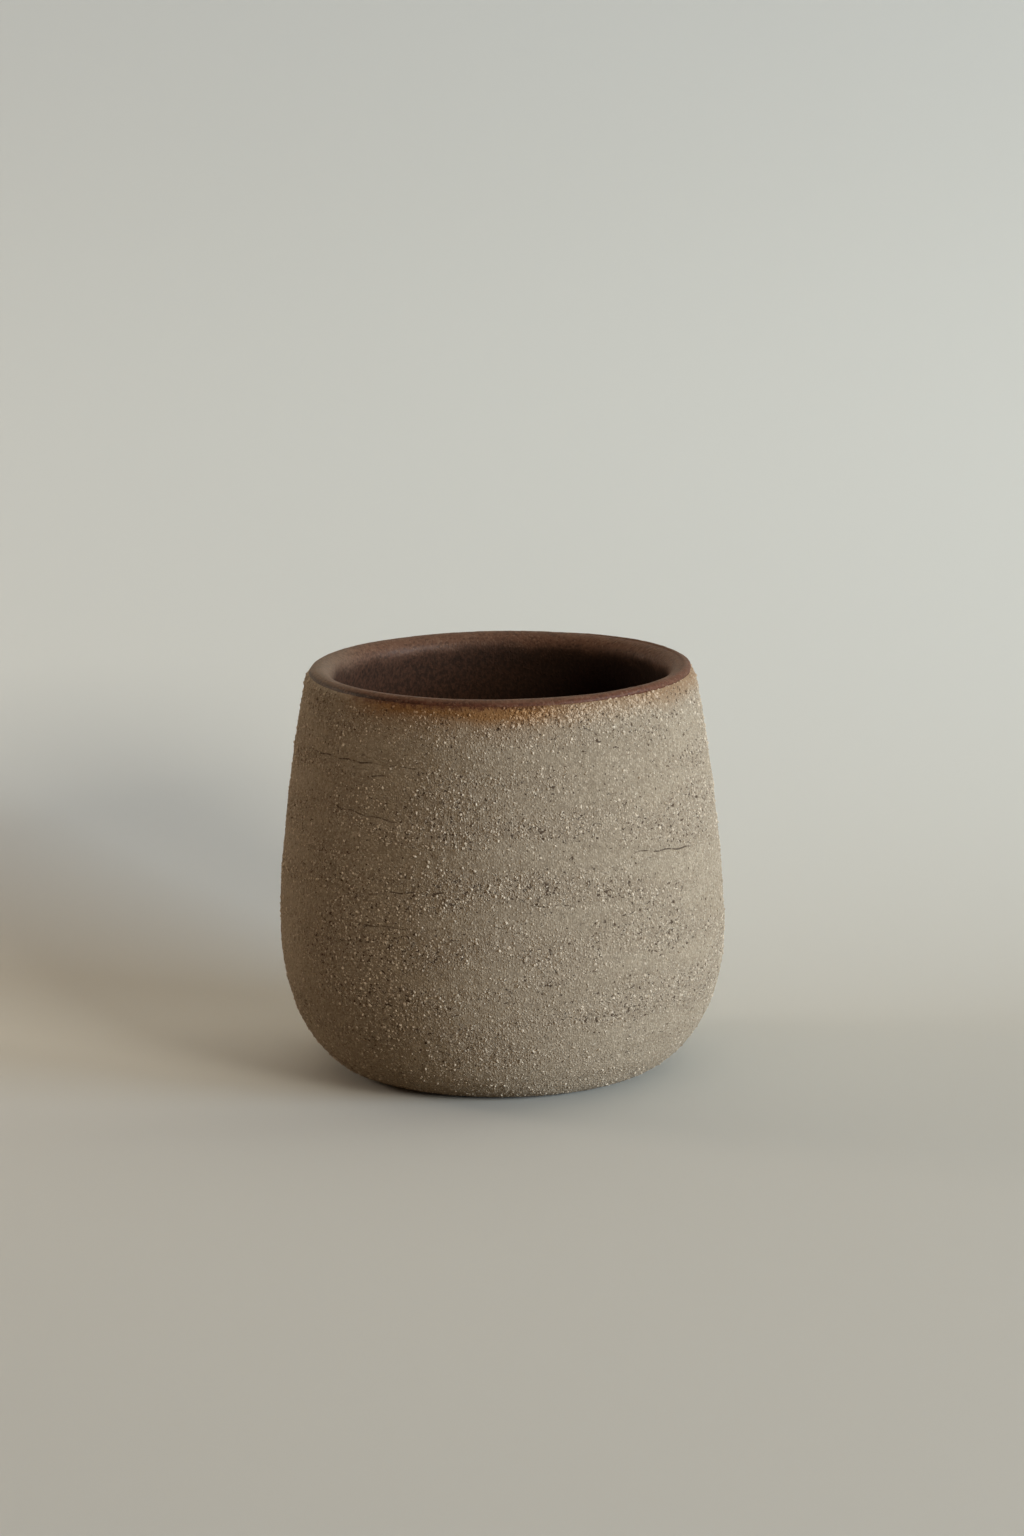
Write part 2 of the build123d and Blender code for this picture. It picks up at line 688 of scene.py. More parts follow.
@dataclass(frozen=True)
class BareClay:
    """Finish of the fired, unglazed clay: warm taupe, sandy, with a flash of orange under the glaze and
    painted shade in its hollows and scratches.
    """

    pale: Colour = colour(0.425, 0.373, 0.29)
    deep: Colour = colour(0.39, 0.337, 0.258)
    rosy: Colour = colour(0.41, 0.345, 0.272)
    grog: Colour = colour(0.8, 0.73, 0.6)
    # Dark sand grains, and painted shade in the torn hollows and along the scratches.
    dark_sand_and_shade: Colour = colour(0.07, 0.04, 0.023)
    flash: Colour = colour(0.32, 0.178, 0.075)
    scorch: Colour = colour(0.12, 0.048, 0.026)
    bands: Patches = Patches(26.0, 4.0, 3.0)
    rosy_share: float = 0.3
    sand_size: float = 0.42
    dark_tones: Span = (0.0, 0.5)
    dark_sand: float = 0.24
    pale_tones: Span = (0.6, 1.0)
    pale_sand: float = 0.28
    speck_cell: float = 0.75
    speck_size: float = 0.32
    calm_specks: float = 0.12
    torn_specks: float = 0.3
    hollows: Patches = Patches(0.8, 0.62, 2.0)
    calm_hollows: float = 0.285
    torn_hollows: float = 0.075
    hollow_edge: float = 0.035
    hollow_share: float = 0.82
    scratch_width: float = 0.17
    scratch_core: float = 0.3
    scratch_breaks: Patches = Patches(2.5, 1.5, 2.0)
    break_levels: Span = (0.2, 0.7)
    least_scratch: float = 0.1
    scratch_share: float = 0.7
    flash_height: float = 9.0
    calm_relief: float = 0.6
    torn_relief: float = 0.5
    speck_relief: float = 0.6
    dark_relief: float = 0.9
    relief: float = 0.5
    roughness: float = 0.92
    specular: float = 0.2
    diffuse_roughness: float = 0.5

    def build(self, effects: SharedEffects) -> Material:
        """Builds the material.

        Args:
            effects: The shared effects.

        Returns:
            The material.
        """
        material, graph = new_material("bare_stoneware")
        place = graph.here()
        coarse = graph.noted("coarse")
        bands = effects.lay_patches(graph, place, self.bands)["Value"]
        sand = effects.lay_sand(graph, place, self.sand_size)
        share = graph.rising(coarse, self.calm_specks, self.torn_specks)
        spots = {"Scale": 1 / (self.speck_cell * MM), "Share": share, "Size": self.speck_size}
        specks = graph.group(effects.speckle, {"Vector": place, **spots})["Mask"]
        glow = effects.lay_flash(graph, place, self.flash_height)
        # Painted shade in the torn hollows and scratch grooves, partly also the clay's dark iron.
        hollow_shade = self.hollow_shade_mask(graph, effects, place, coarse)
        base = graph.layers(
            self.deep,
            (bands, self.pale),
            (graph.times(coarse, self.rosy_share), self.rosy),
            (graph.grade(sand["Tone"], *self.dark_tones, self.dark_sand, 0.0), self.dark_sand_and_shade),
            (graph.grade(sand["Tone"], *self.pale_tones, 0.0, self.pale_sand), self.grog),
            (specks, self.grog),
            (glow["Flash"], self.flash),
            (glow["Fringe"], self.scorch),
            (hollow_shade, self.dark_sand_and_shade),
        )
        height = graph.times(sand["Height"], graph.rising(coarse, self.calm_relief, self.torn_relief))
        height = graph.plus(height, graph.times(specks, self.speck_relief))
        height = graph.minus(height, graph.times(hollow_shade, self.dark_relief))
        shader = graph.surface(base, self.roughness, height, self.relief)
        shader.inputs["Specular IOR Level"].default_value = self.specular
        shader.inputs["Diffuse Roughness"].default_value = self.diffuse_roughness
        return material

    def hollow_shade_mask(self, graph: Graph, effects: SharedEffects, place: Socket, coarse: Socket) -> Socket:
        """Marks the torn hollows, and thin broken lines near the noted scratches, with a dark colour that is
        partly the clay's dark iron and partly painted shade in these recesses.

        Args:
            graph: Graph of the material.
            effects: The shared effects.
            place: Place on the object.
            coarse: How coarse the clay is.

        Returns:
            Share of the dark colour, which is partly painted shade.
        """
        torn = effects.lay_patches(graph, place, self.hollows)["Level"]
        depth = graph.rising(coarse, self.calm_hollows, self.torn_hollows)
        hollows = graph.grade(torn, graph.plus(depth, self.hollow_edge), depth)
        gap = graph.calc("ABSOLUTE", graph.noted("scratch_gap"))
        line = graph.grade(gap, self.scratch_width, self.scratch_core * self.scratch_width)
        broken = effects.lay_patches(graph, place, self.scratch_breaks)["Value"]
        kept = graph.grade(broken, *self.break_levels, self.least_scratch, 1.0)
        lines = graph.times(graph.times(line, graph.noted("scratch_mark")), kept)
        hollows = graph.times(hollows, self.hollow_share)
        return graph.calc("MAXIMUM", hollows, graph.times(lines, self.scratch_share))


@dataclass(frozen=True)
class GrogCream:
    """Finish of the grog grains that stand out of the clay."""

    pale: Colour = colour(0.85, 0.78, 0.65)
    deep: Colour = colour(0.4, 0.345, 0.268)
    flash: Colour = colour(0.42, 0.25, 0.115)
    scorch: Colour = colour(0.15, 0.066, 0.036)
    tone_bias: float = 2.0
    flash_height: float = 9.0
    flash_share: float = 0.85
    scorch_share: float = 0.8
    sand_size: float = 0.2
    sand_levels: Span = (0.2, 0.6)
    sand_share: float = 0.3
    relief: float = 0.05
    relief_strength: float = 0.4
    roughness: float = 0.75

    def build(self, effects: SharedEffects) -> Material:
        """Builds the material.

        Args:
            effects: The shared effects.

        Returns:
            The material.
        """
        material, graph = new_material("cream_grog")
        place = graph.here()
        sand = effects.lay_sand(graph, place, self.sand_size)["Height"]
        glow = effects.lay_flash(graph, place, self.flash_height)
        base = graph.layers(
            self.deep,
            (graph.calc("POWER", graph.noted("tone"), self.tone_bias), self.pale),
            (graph.grade(sand, *self.sand_levels, self.sand_share, 0.0), self.deep),
            (graph.times(glow["Flash"], self.flash_share), self.flash),
            (graph.times(glow["Fringe"], self.scorch_share), self.scorch),
        )
        graph.surface(base, self.roughness, sand, self.relief, self.relief_strength)
        return material


@dataclass(frozen=True)
class DarkGlaze:
    """Finish of the satin glaze: near black where it lies thick, red-brown where the lip thins it, with
    painted light, sheen and shade towards the cup's left.
    """

    section: CupSection
    thick: Colour = colour(0.021, 0.0125, 0.0085)
    grain: Colour = colour(0.09, 0.043, 0.027)
    thin: Colour = colour(0.155, 0.082, 0.053)
    # Red-brown edge of the coat, partly painted shade under the lip.
    edge: Colour = colour(0.125, 0.05, 0.03)
    # Painted shade on the coat's edge, towards the cup's left.
    shade: Colour = colour(0.042, 0.024, 0.017)
    fleck: Colour = colour(0.22, 0.135, 0.09)
    # Painted sheen on the lip's left side.
    painted_sheen: Colour = colour(0.2, 0.155, 0.115)
    patches: Patches = Patches(9.0, 5.0, 3.0)
    patch_share: float = 0.35
    streaks: Patches = Patches(0.6, 0.9, 3.0)
    least_streak: float = 0.3
    # Painted light: the inside shows more brown grain towards the cup's left, whose inner wall faces the
    # light.
    lit_side_reach: Span = (18.0, -22.0)
    lit_side_share: Span = (0.2, 0.9)
    lip_reach: Span = (-6.0, -0.8)
    lip_wander: float = 1.6
    lip_bias: float = 2.0
    sheen_reach: Span = (-25.0, -36.0)
    sheen_share: float = 0.8
    edge_reach: Span = (1.05, 0.55)
    shade_reach: Span = (-12.0, -28.0)
    grit_size: float = 0.45
    dark_tones: Span = (0.0, 0.45)
    dark_grit: float = 0.4
    pale_tones: Span = (0.65, 1.0)
    pale_grit: float = 0.45
    inside_roughness: float = 0.78
    lip_roughness: float = 0.42
    grit_roughness: float = 0.2
    lip_relief: float = 0.7
    relief: float = 0.16
    specular: float = 0.22

    def build(self, effects: SharedEffects) -> Material:
        """Builds the material.

        Args:
            effects: The shared effects.

        Returns:
            The material.
        """
        material, graph = new_material("dark_glaze")
        place = graph.here()
        axes = graph.axes(place)
        grit = effects.lay_sand(graph, place, self.grit_size)
        patches = effects.lay_patches(graph, place, self.patches)["Value"]
        streaks = effects.lay_patches(graph, place, self.streaks)["Value"]
        streaks = graph.grade(streaks, 0.0, 1.0, self.least_streak, 1.0)
        # Painted light: more brown grain inside towards the cup's left.
        painted_light_left = graph.reach(axes[0], self.lit_side_reach, *self.lit_side_share)
        level = graph.wander(axes[2], patches, self.lip_wander)
        lip = graph.reach(level, self.lip_reach, about=self.section.crown_height)
        lip = graph.calc("POWER", lip, self.lip_bias)
        # Painted sheen: a pale grey-brown laid on the lip towards the cup's left, where the light catches it.
        painted_sheen = graph.reach(axes[0], self.sheen_reach, 0.0, self.sheen_share)
        thinned = graph.times(patches, self.patch_share)
        lip_tone_and_sheen = graph.layers(self.thin, (thinned, self.grain), (painted_sheen, self.painted_sheen))
        # Painted shade: the coat's lower edge line, darker still towards the cup's left.
        edge_and_shade = graph.layers(self.edge, (graph.reach(axes[0], self.shade_reach), self.shade))
        pale = graph.times(graph.grade(grit["Tone"], *self.pale_tones, 0.0, self.pale_grit), lip)
        base = graph.layers(
            self.thick,
            (graph.times(streaks, painted_light_left), self.grain),
            (lip, lip_tone_and_sheen),
            (self.edge_shade_mask(graph, axes), edge_and_shade),
            (graph.grade(grit["Tone"], *self.dark_tones, self.dark_grit, 0.0), self.thick),
            (pale, self.fleck),
        )
        rough = graph.grade(lip, 0.0, 1.0, self.inside_roughness, self.lip_roughness)
        rough = graph.plus(graph.times(grit["Height"], self.grit_roughness), rough)
        height = graph.times(grit["Height"], graph.grade(lip, 0.0, 1.0, 1.0, self.lip_relief))
        shader = graph.surface(base, rough, height, self.relief)
        shader.inputs["Specular IOR Level"].default_value = self.specular
        return material

    def edge_shade_mask(self, graph: Graph, axes: Outputs) -> Socket:
        """Marks the thin line at the coat's outer edge, which is lifted on the cup's right; its colour is
        partly the coat's red-brown edge and partly painted shade under the lip, darkest on the cup's left.

        Args:
            graph: Graph of the material.
            axes: Parts of the place on the object.

        Returns:
            Share of the edge's colour, which is partly painted shade.
        """
        section = self.section
        flat = graph.node("ShaderNodeCombineXYZ", {0: axes[0], 1: axes[1]}).outputs[0]
        radius = graph.vector("LENGTH", {0: flat})["Value"]
        outer = graph.calc("GREATER_THAN", radius, section.lip_centre_radius * MM)
        lift = graph.reach(axes[0], section.lift_reach, 0.0, section.glaze_lift * MM)
        level = graph.minus(axes[2], lift)
        return graph.times(outer, graph.reach(level, self.edge_reach, about=section.glaze_line_height))


@dataclass(frozen=True)
class PaperSweep:
    """Finish of the plain pale sweep: painted light makes it paler towards its wall and darker near its top,
    and it is clear to the camera from behind.
    """

    # Painted light: the floor, wall and top colours grade as light falls on the one sheet.
    floor: Colour = colour(0.7, 0.755, 0.76)
    wall: Colour = colour(0.775, 0.835, 0.825)
    top: Colour = colour(0.69, 0.75, 0.76)
    floor_bounce: Colour = colour(0.36, 0.31, 0.24)
    wall_bounce: Colour = colour(0.8, 0.73, 0.62)
    floor_reach: Span = (-30.0, 170.0)
    wall_reach: Span = (90.0, 250.0)

    def build(self) -> Material:
        """Builds the material.

        Returns:
            The material.
        """
        material, graph = new_material("pale_paper")
        axes = graph.axes(graph.here())
        # Painted light falloff over the sweep, by depth and height.
        back = graph.reach(axes[1], self.floor_reach)
        painted_top_falloff = graph.reach(axes[2], self.wall_reach)
        seen = graph.seen()
        shown = graph.layers(self.floor, (back, self.wall), (painted_top_falloff, self.top))
        bounced = graph.layers(self.floor_bounce, (back, self.wall_bounce))
        paper = graph.node("ShaderNodeBsdfDiffuse", {"Color": graph.layers(bounced, (seen, shown))})
        behind = graph.node("ShaderNodeNewGeometry").outputs["Backfacing"]
        clear = graph.node("ShaderNodeBsdfTransparent")
        shaders = {0: graph.times(seen, behind), 1: paper.outputs[0], 2: clear.outputs[0]}
        surface = graph.node("ShaderNodeMixShader", shaders)
        graph.node("ShaderNodeOutputMaterial", {"Surface": surface.outputs[0]})
        return material


@dataclass(frozen=True)
class Ruffle:
    """A soft cloud that moves a painted group: size of its lumps, their height, stretch and direction."""

    group: str
    size: float
    height: float
    stretch: float = 1.0
    way: str = "NORMAL"
    octaves: int = 2

    def shape(self, piece: Piece) -> None:
        """Moves the group of a piece in and out by the cloud.

        Args:
            piece: The piece.
        """
        bpy.ops.object.empty_add()
        guide = bpy.context.object
        guide.scale = Vector((self.stretch, self.stretch, 1.0)) * self.size * MM
        bpy.context.view_layer.update()
        cloud = bpy.data.textures.new("cloud", "CLOUDS")
        cloud.noise_scale = 1.0
        cloud.noise_depth = self.octaves
        apply_modifier(
            piece,
            "DISPLACE",
            texture=cloud,
            texture_coords="OBJECT",
            texture_coords_object=guide,
            direction=self.way,
            vertex_group=self.group,
            mid_level=0.5,
            strength=self.height * MM,
        )
        bpy.data.objects.remove(guide)
        bpy.data.textures.remove(cloud)


@dataclass
class TurnedPiece:
    """A piece turned about the cup's axis from a section, then shaped by its painted weights."""

    section: CupSection
    name: str
    node: str
    slot: str
    turns: int = 460
    map_margin: float = 0.002
    least_gap: float = 0.01
    least_weight: float = 0.01
    rows: list[Vector] = field(default_factory=list)
    zones: list[Zone] = field(default_factory=list)
    row_of: list[int] = field(default_factory=list)
    piece: Piece | None = None

    def draw(self, *stretches: tuple[Zone, list[Vector]]) -> None:
        """Joins stretches of the section into one line of rows, each with its zone.

        Args:
            stretches: Zone and points of each stretch.
        """
        for zone, points in stretches:
            for point in points:
                if self.rows and (point - self.rows[-1]).length < self.least_gap:
                    continue
                self.rows.append(point)
                self.zones.append(zone)

    def turn(self) -> None:
        """Extrudes one point along the section and turns the line round the axis."""
        bpy.ops.object.select_all(action="DESELECT")
        bpy.ops.mesh.primitive_plane_add(size=MM, location=self.rows[0] * MM)
        self.piece = bpy.context.object
        self.piece.name = self.piece.data.name = self.name
        bpy.ops.object.transform_apply(location=True, rotation=True, scale=True)
        with editing():
            bpy.ops.mesh.merge(type="CENTER")
            for here, there in pairwise(self.rows):
                bpy.ops.mesh.extrude_vertices_move(TRANSFORM_OT_translate={"value": (there - here) * MM})
        steps = {"steps": self.turns, "render_steps": self.turns}
        apply_modifier(self.piece, "SCREW", **steps, use_merge_vertices=True, merge_threshold=TINY)
        close_seams()
        bpy.ops.object.shade_smooth()
        self.find_rows()
        self.map_rows()

    def find_rows(self) -> None:
        """Notes which row of the section each point of the mesh lies on."""
        tree = kdtree.KDTree(len(self.rows))
        for index, row in enumerate(self.rows):
            tree.insert(row * MM, index)
        tree.balance()
        points = [point.co for point in self.piece.data.vertices]
        self.row_of = [tree.find(spot(math.hypot(point.x, point.y), point.z))[1] for point in points]

    def map_rows(self) -> None:
        """Unrolls the mesh into a map: round the axis one way and along the section the other."""
        reached = lengths_along(self.rows)
        width = 1.0 - 2 * self.map_margin
        mesh = self.piece.data
        layer = mesh.uv_layers.new(name=BAKE_MAP)
        for face in mesh.polygons:
            middle = math.atan2(face.center.y, face.center.x)
            for loop, index in zip(face.loop_indices, face.vertices):
                point = mesh.vertices[index].co
                turn = middle
                if math.hypot(point.x, point.y) > TINY:
                    offset = math.atan2(point.y, point.x) - middle
                    turn = middle + math.atan2(math.sin(offset), math.cos(offset))
                across = self.map_margin + width * (turn / math.tau + 0.5)
                along = self.map_margin + width * reached[self.row_of[index]] / reached[-1]
                layer.data[loop].uv = (across, along)

    def paint(self, name: str, weights: list[float]) -> None:
        """Paints a vertex group on the mesh.

        Args:
            name: Name of the group.
            weights: A weight from 0 to 1 for each point.
        """
        group = self.piece.vertex_groups.new(name=name)
        levels: dict[float, list[int]] = {}
        for index, weight in enumerate(weights):
            if weight > self.least_weight:
                levels.setdefault(round(weight, 2), []).append(index)
        for weight, points in levels.items():
            group.add(points, weight, "REPLACE")

    def raise_group(self, group: str, height: float, way: str = "NORMAL") -> None:
        """Moves a painted group along its normals or an axis, by its weight times a height."""
        move = {"direction": way, "mid_level": 0.0, "strength": height * MM}
        apply_modifier(self.piece, "DISPLACE", vertex_group=group, **move)

    def dress(self, material: Material) -> None:
        """Gives the piece its finish and its place on the frame.

        Args:
            material: The finish.
        """
        self.piece.vertex_groups.clear()
        seat_on_frame(self.piece, material)
        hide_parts(self.node)


@dataclass(frozen=True)
class Scratch:
    """A line that a grain dragged round the turning clay: turns in degrees, heights and a weight."""

    start_turn: float
    end_turn: float
    start_height: float
    end_height: float
    weight: float = 1.0
    wave: float = 0.15
    wave_turn: float = 0.7
    fade: float = 0.2

    def gap_at(self, turn: float, height: float) -> tuple[float, float]:
        """Finds the place of a point beside the line.

        Args:
            turn: Angle round the cup from its front to the right, in degrees.
            height: Height on the cup.

        Returns:
            How far above the line the point lies, and how strong the line is there.
        """
        share = (turn - self.start_turn) / (self.end_turn - self.start_turn)
        level = self.start_height + (self.end_height - self.start_height) * share
        level += self.wave * math.sin(turn * self.wave_turn + self.start_height)
        strength = smooth(share, 0.0, self.fade) * smooth(1.0 - share, 0.0, self.fade)
        return height - level, self.weight * strength


FRONT_SCRATCHES = (
    Scratch(-72, -20, 66.0, 66.2),
    Scratch(-47, -31, 63.4, 64.2, 0.7),
    Scratch(-54, -27, 57.4, 55.7, 0.8),
    Scratch(36, 61, 49.2, 47.4),
    Scratch(-34, -12, 42.4, 43.5),
    Scratch(0, 20, 41.2, 40.4, 0.8),
    Scratch(-40, -23, 35.8, 36.0, 0.7),
)


@dataclass
class ClayBody(TurnedPiece):
    """The thrown clay body, with its foot, belly, wall and lip."""

    name: str = "clay_body"
    node: str = "stoneware_body"
    slot: str = "bare_stoneware"
    wall_spacing: float = 0.5
    lip_spacing: float = 0.9
    hidden_spacing: float = 5.0
    leaning: Ruffle = Ruffle("wall", 34.0, 0.6)
    throwing: Ruffle = Ruffle("wall", 4.5, 0.3, stretch=9.0)
    dimpling: Ruffle = Ruffle("wall", 1.8, 0.12, stretch=2.4)
    shake: float = 0.1
    shake_evenness: float = 0.8
    foot_fade: Span = (0.1, 1.6)
    lip_fade: Span = (0.2, 1.6)
    patch_length: float = 22.0
    patch_height: float = 6.0
    patch_start: tuple[float, float, float] = (2.7, 39.0, 7.2)
    patch_octaves: int = 3
    patch_levels: Span = (-0.45, 0.5)
    calm_rise: Span = (4.0, 20.0)
    calm_share: float = 0.35
    crumbly_turn: Span = (-4.0, 58.0)
    crumbly_fade: float = 14.0
    crumbly_depth: Span = (-4.5, -2.0)
    crumbly_share: float = 0.9
    least_mark: float = 0.3
    mark_bias: float = 1.5
    calm_pits: float = 0.015
    torn_pits: float = 0.13
    pit_depth: float = 0.18
    calm_grains: float = 0.048
    torn_grains: float = 0.12
    grain_height: float = 0.1
    scratch_depth: float = 0.12
    scratch_reach: float = 1.5
    scratch_fade: Span = (0.9, 1.4)
    back_scratches: int = 16
    back_turns: Span = (70.0, 250.0)
    back_heights: Span = (14.0, 70.0)
    back_lengths: Span = (14.0, 45.0)
    back_rises: Span = (-1.2, 1.2)
    back_weights: Span = (0.5, 1.0)
    seed: int = 11

    def build(self) -> None:
        """Turns the body and works its wall."""
        shape = self.section
        self.draw(
            (Zone.UNDERSIDE, shape.underside()),
            (Zone.WALL, shape.outside(self.wall_spacing)),
            (Zone.LIP, shape.lip(0.0, self.lip_spacing, shape.glaze_line_angle)),
            (Zone.INSIDE, shape.inside(0.0, 0.0, self.hidden_spacing)),
        )
        self.turn()
        self.paint("wall", self.wall_weights())
        self.leaning.shape(self.piece)
        self.throwing.shape(self.piece)
        self.shake_wall()
        self.dimpling.shape(self.piece)
        self.mark_wall()

    def wall_weights(self) -> list[float]:
        """Weighs the bare wall.

        Returns:
            A weight for each point: full on the wall, and none at the foot's contact, lip or inside.
        """
        line = self.section.glaze_line_height
        weights = []
        for row in self.row_of:
            height = self.rows[row].z
            weight = smooth(height, *self.foot_fade) * smooth(line - height, *self.lip_fade)
            weights.append(weight if self.zones[row] is Zone.WALL else 0.0)
        return weights

    def shake_wall(self) -> None:
        """Shakes the points of the wall a little, so that the rows don't show."""
        pick(self.piece)
        with editing():
            bpy.ops.mesh.select_mode(type="VERT")
            bpy.ops.mesh.select_all(action="DESELECT")
            bpy.ops.object.vertex_group_set_active(group="wall")
            bpy.ops.object.vertex_group_select()
            shake = {"offset": self.shake * MM, "uniform": self.shake_evenness, "normal": 0.0}
            bpy.ops.transform.vertex_random(**shake, seed=self.seed)
            bpy.ops.mesh.select_all(action="DESELECT")

    def coarseness(self, point: Vector) -> float:
        """Tells how coarse the clay is.

        Args:
            point: A point of the wall, in metres.

        Returns:
            A share, from 0 in a smoothed patch to 1 in a torn one.
        """
        length, height = self.patch_length * MM, self.patch_height * MM
        place = Vector((point.x / length, point.y / length, point.z / height)) + Vector(self.patch_start)
        torn = smooth(noise.fractal(place, 1.0, 2.0, self.patch_octaves), *self.patch_levels)
        rise = smooth(point.z / MM, *self.calm_rise)
        calmed = torn * (self.calm_share + (1.0 - self.calm_share) * rise)
        return max(self.crumbly_share * self.under_lip(point), calmed)

    def under_lip(self, point: Vector) -> float:
        """Weighs the crumbly band under the lip's front and right.

        Args:
            point: A point of the wall, in metres.

        Returns:
            Weight of the band there.
        """
        turn = turn_of(point)
        start, end = self.crumbly_turn
        weight = smooth(point.z / MM - self.section.glaze_line_height, *self.crumbly_depth)
        ends = smooth(turn, start, start + self.crumbly_fade) * smooth(end - turn, 0.0, self.crumbly_fade)
        return weight * ends

    def mark_wall(self) -> None:
        """Pits, raises and scratches the bare wall, and notes what the finish reads."""
        draw = random.Random(self.seed)
        scratches = [*FRONT_SCRATCHES, *self.scatter_scratches(draw)]
        wall = self.wall_weights()
        pits, grains, lines, coarse, marks = ([0.0] * len(wall) for _ in range(5))
        gaps = [self.scratch_reach] * len(wall)
        for index, point in enumerate(self.piece.data.vertices):
            if not wall[index]:
                continue
            coarse[index] = self.coarseness(point.co)
            chance = draw.random()
            weight = wall[index] * (self.least_mark + (1 - self.least_mark) * draw.random() ** self.mark_bias)
            if chance < self.calm_pits + self.torn_pits * coarse[index]:
                pits[index] = weight
            elif chance > 1.0 - (self.calm_grains + self.torn_grains * coarse[index]):
                grains[index] = weight
            turn = turn_of(point.co)
            for scratch in scratches:
                gap, mark = scratch.gap_at(turn, point.co.z / MM)
                if mark > 0.0 and abs(gap) < abs(gaps[index]):
                    gaps[index], marks[index] = gap, mark * wall[index]
            lines[index] = marks[index] * smooth(self.scratch_reach - abs(gaps[index]), *self.scratch_fade)
        for name, weights, push in (
            ("pits", pits, -self.pit_depth),
            ("grains", grains, self.grain_height),
            ("lines", lines, -self.scratch_depth),
        ):
            self.paint(name, weights)
            self.raise_group(name, push)
        for name, values in (("coarse", coarse), ("scratch_gap", gaps), ("scratch_mark", marks)):
            note(self.piece.data, name, values)

    def scatter_scratches(self, draw: random.Random) -> list[Scratch]:
        """Scatters scratches of the front ones' kind on the sides and back.

        Args:
            draw: Source of the random places.

        Returns:
            The scratches.
        """
        made = []
        for _ in range(self.back_scratches):
            start = draw.uniform(*self.back_turns)
            height = draw.uniform(*self.back_heights)
            length = draw.uniform(*self.back_lengths)
            turn = start if start < 180 - length else start - 360
            end_height = height + draw.uniform(*self.back_rises)
            made.append(Scratch(turn, turn + length, height, end_height, draw.uniform(*self.back_weights)))
        return made


class Grain(Enum):
    """Starting shapes of a grain, by their number of faces."""

    CHUNK = 20
    CHIP = 8


@dataclass(frozen=True)
class Sieving:
    """What one grade of grog holds: its piece's name, grains, radii, starting shape and least tone."""

    piece: str
    count: int
    smallest: float
    largest: float
    grain: Grain
    least_tone: float


class Grade(Enum):
    """Grades of grog in the clay."""

    COARSE = Sieving("coarse_grog", 8500, 0.17, 0.31, Grain.CHUNK, 0.5)
    MEDIUM = Sieving("medium_grog", 24000, 0.11, 0.24, Grain.CHIP, 0.0)
    FINE = Sieving("fine_grog", 24000, 0.08, 0.15, Grain.CHIP, 0.0)
    CRUMB = Sieving("lip_crumbs", 420, 0.18, 0.42, Grain.CHUNK, 0.4)


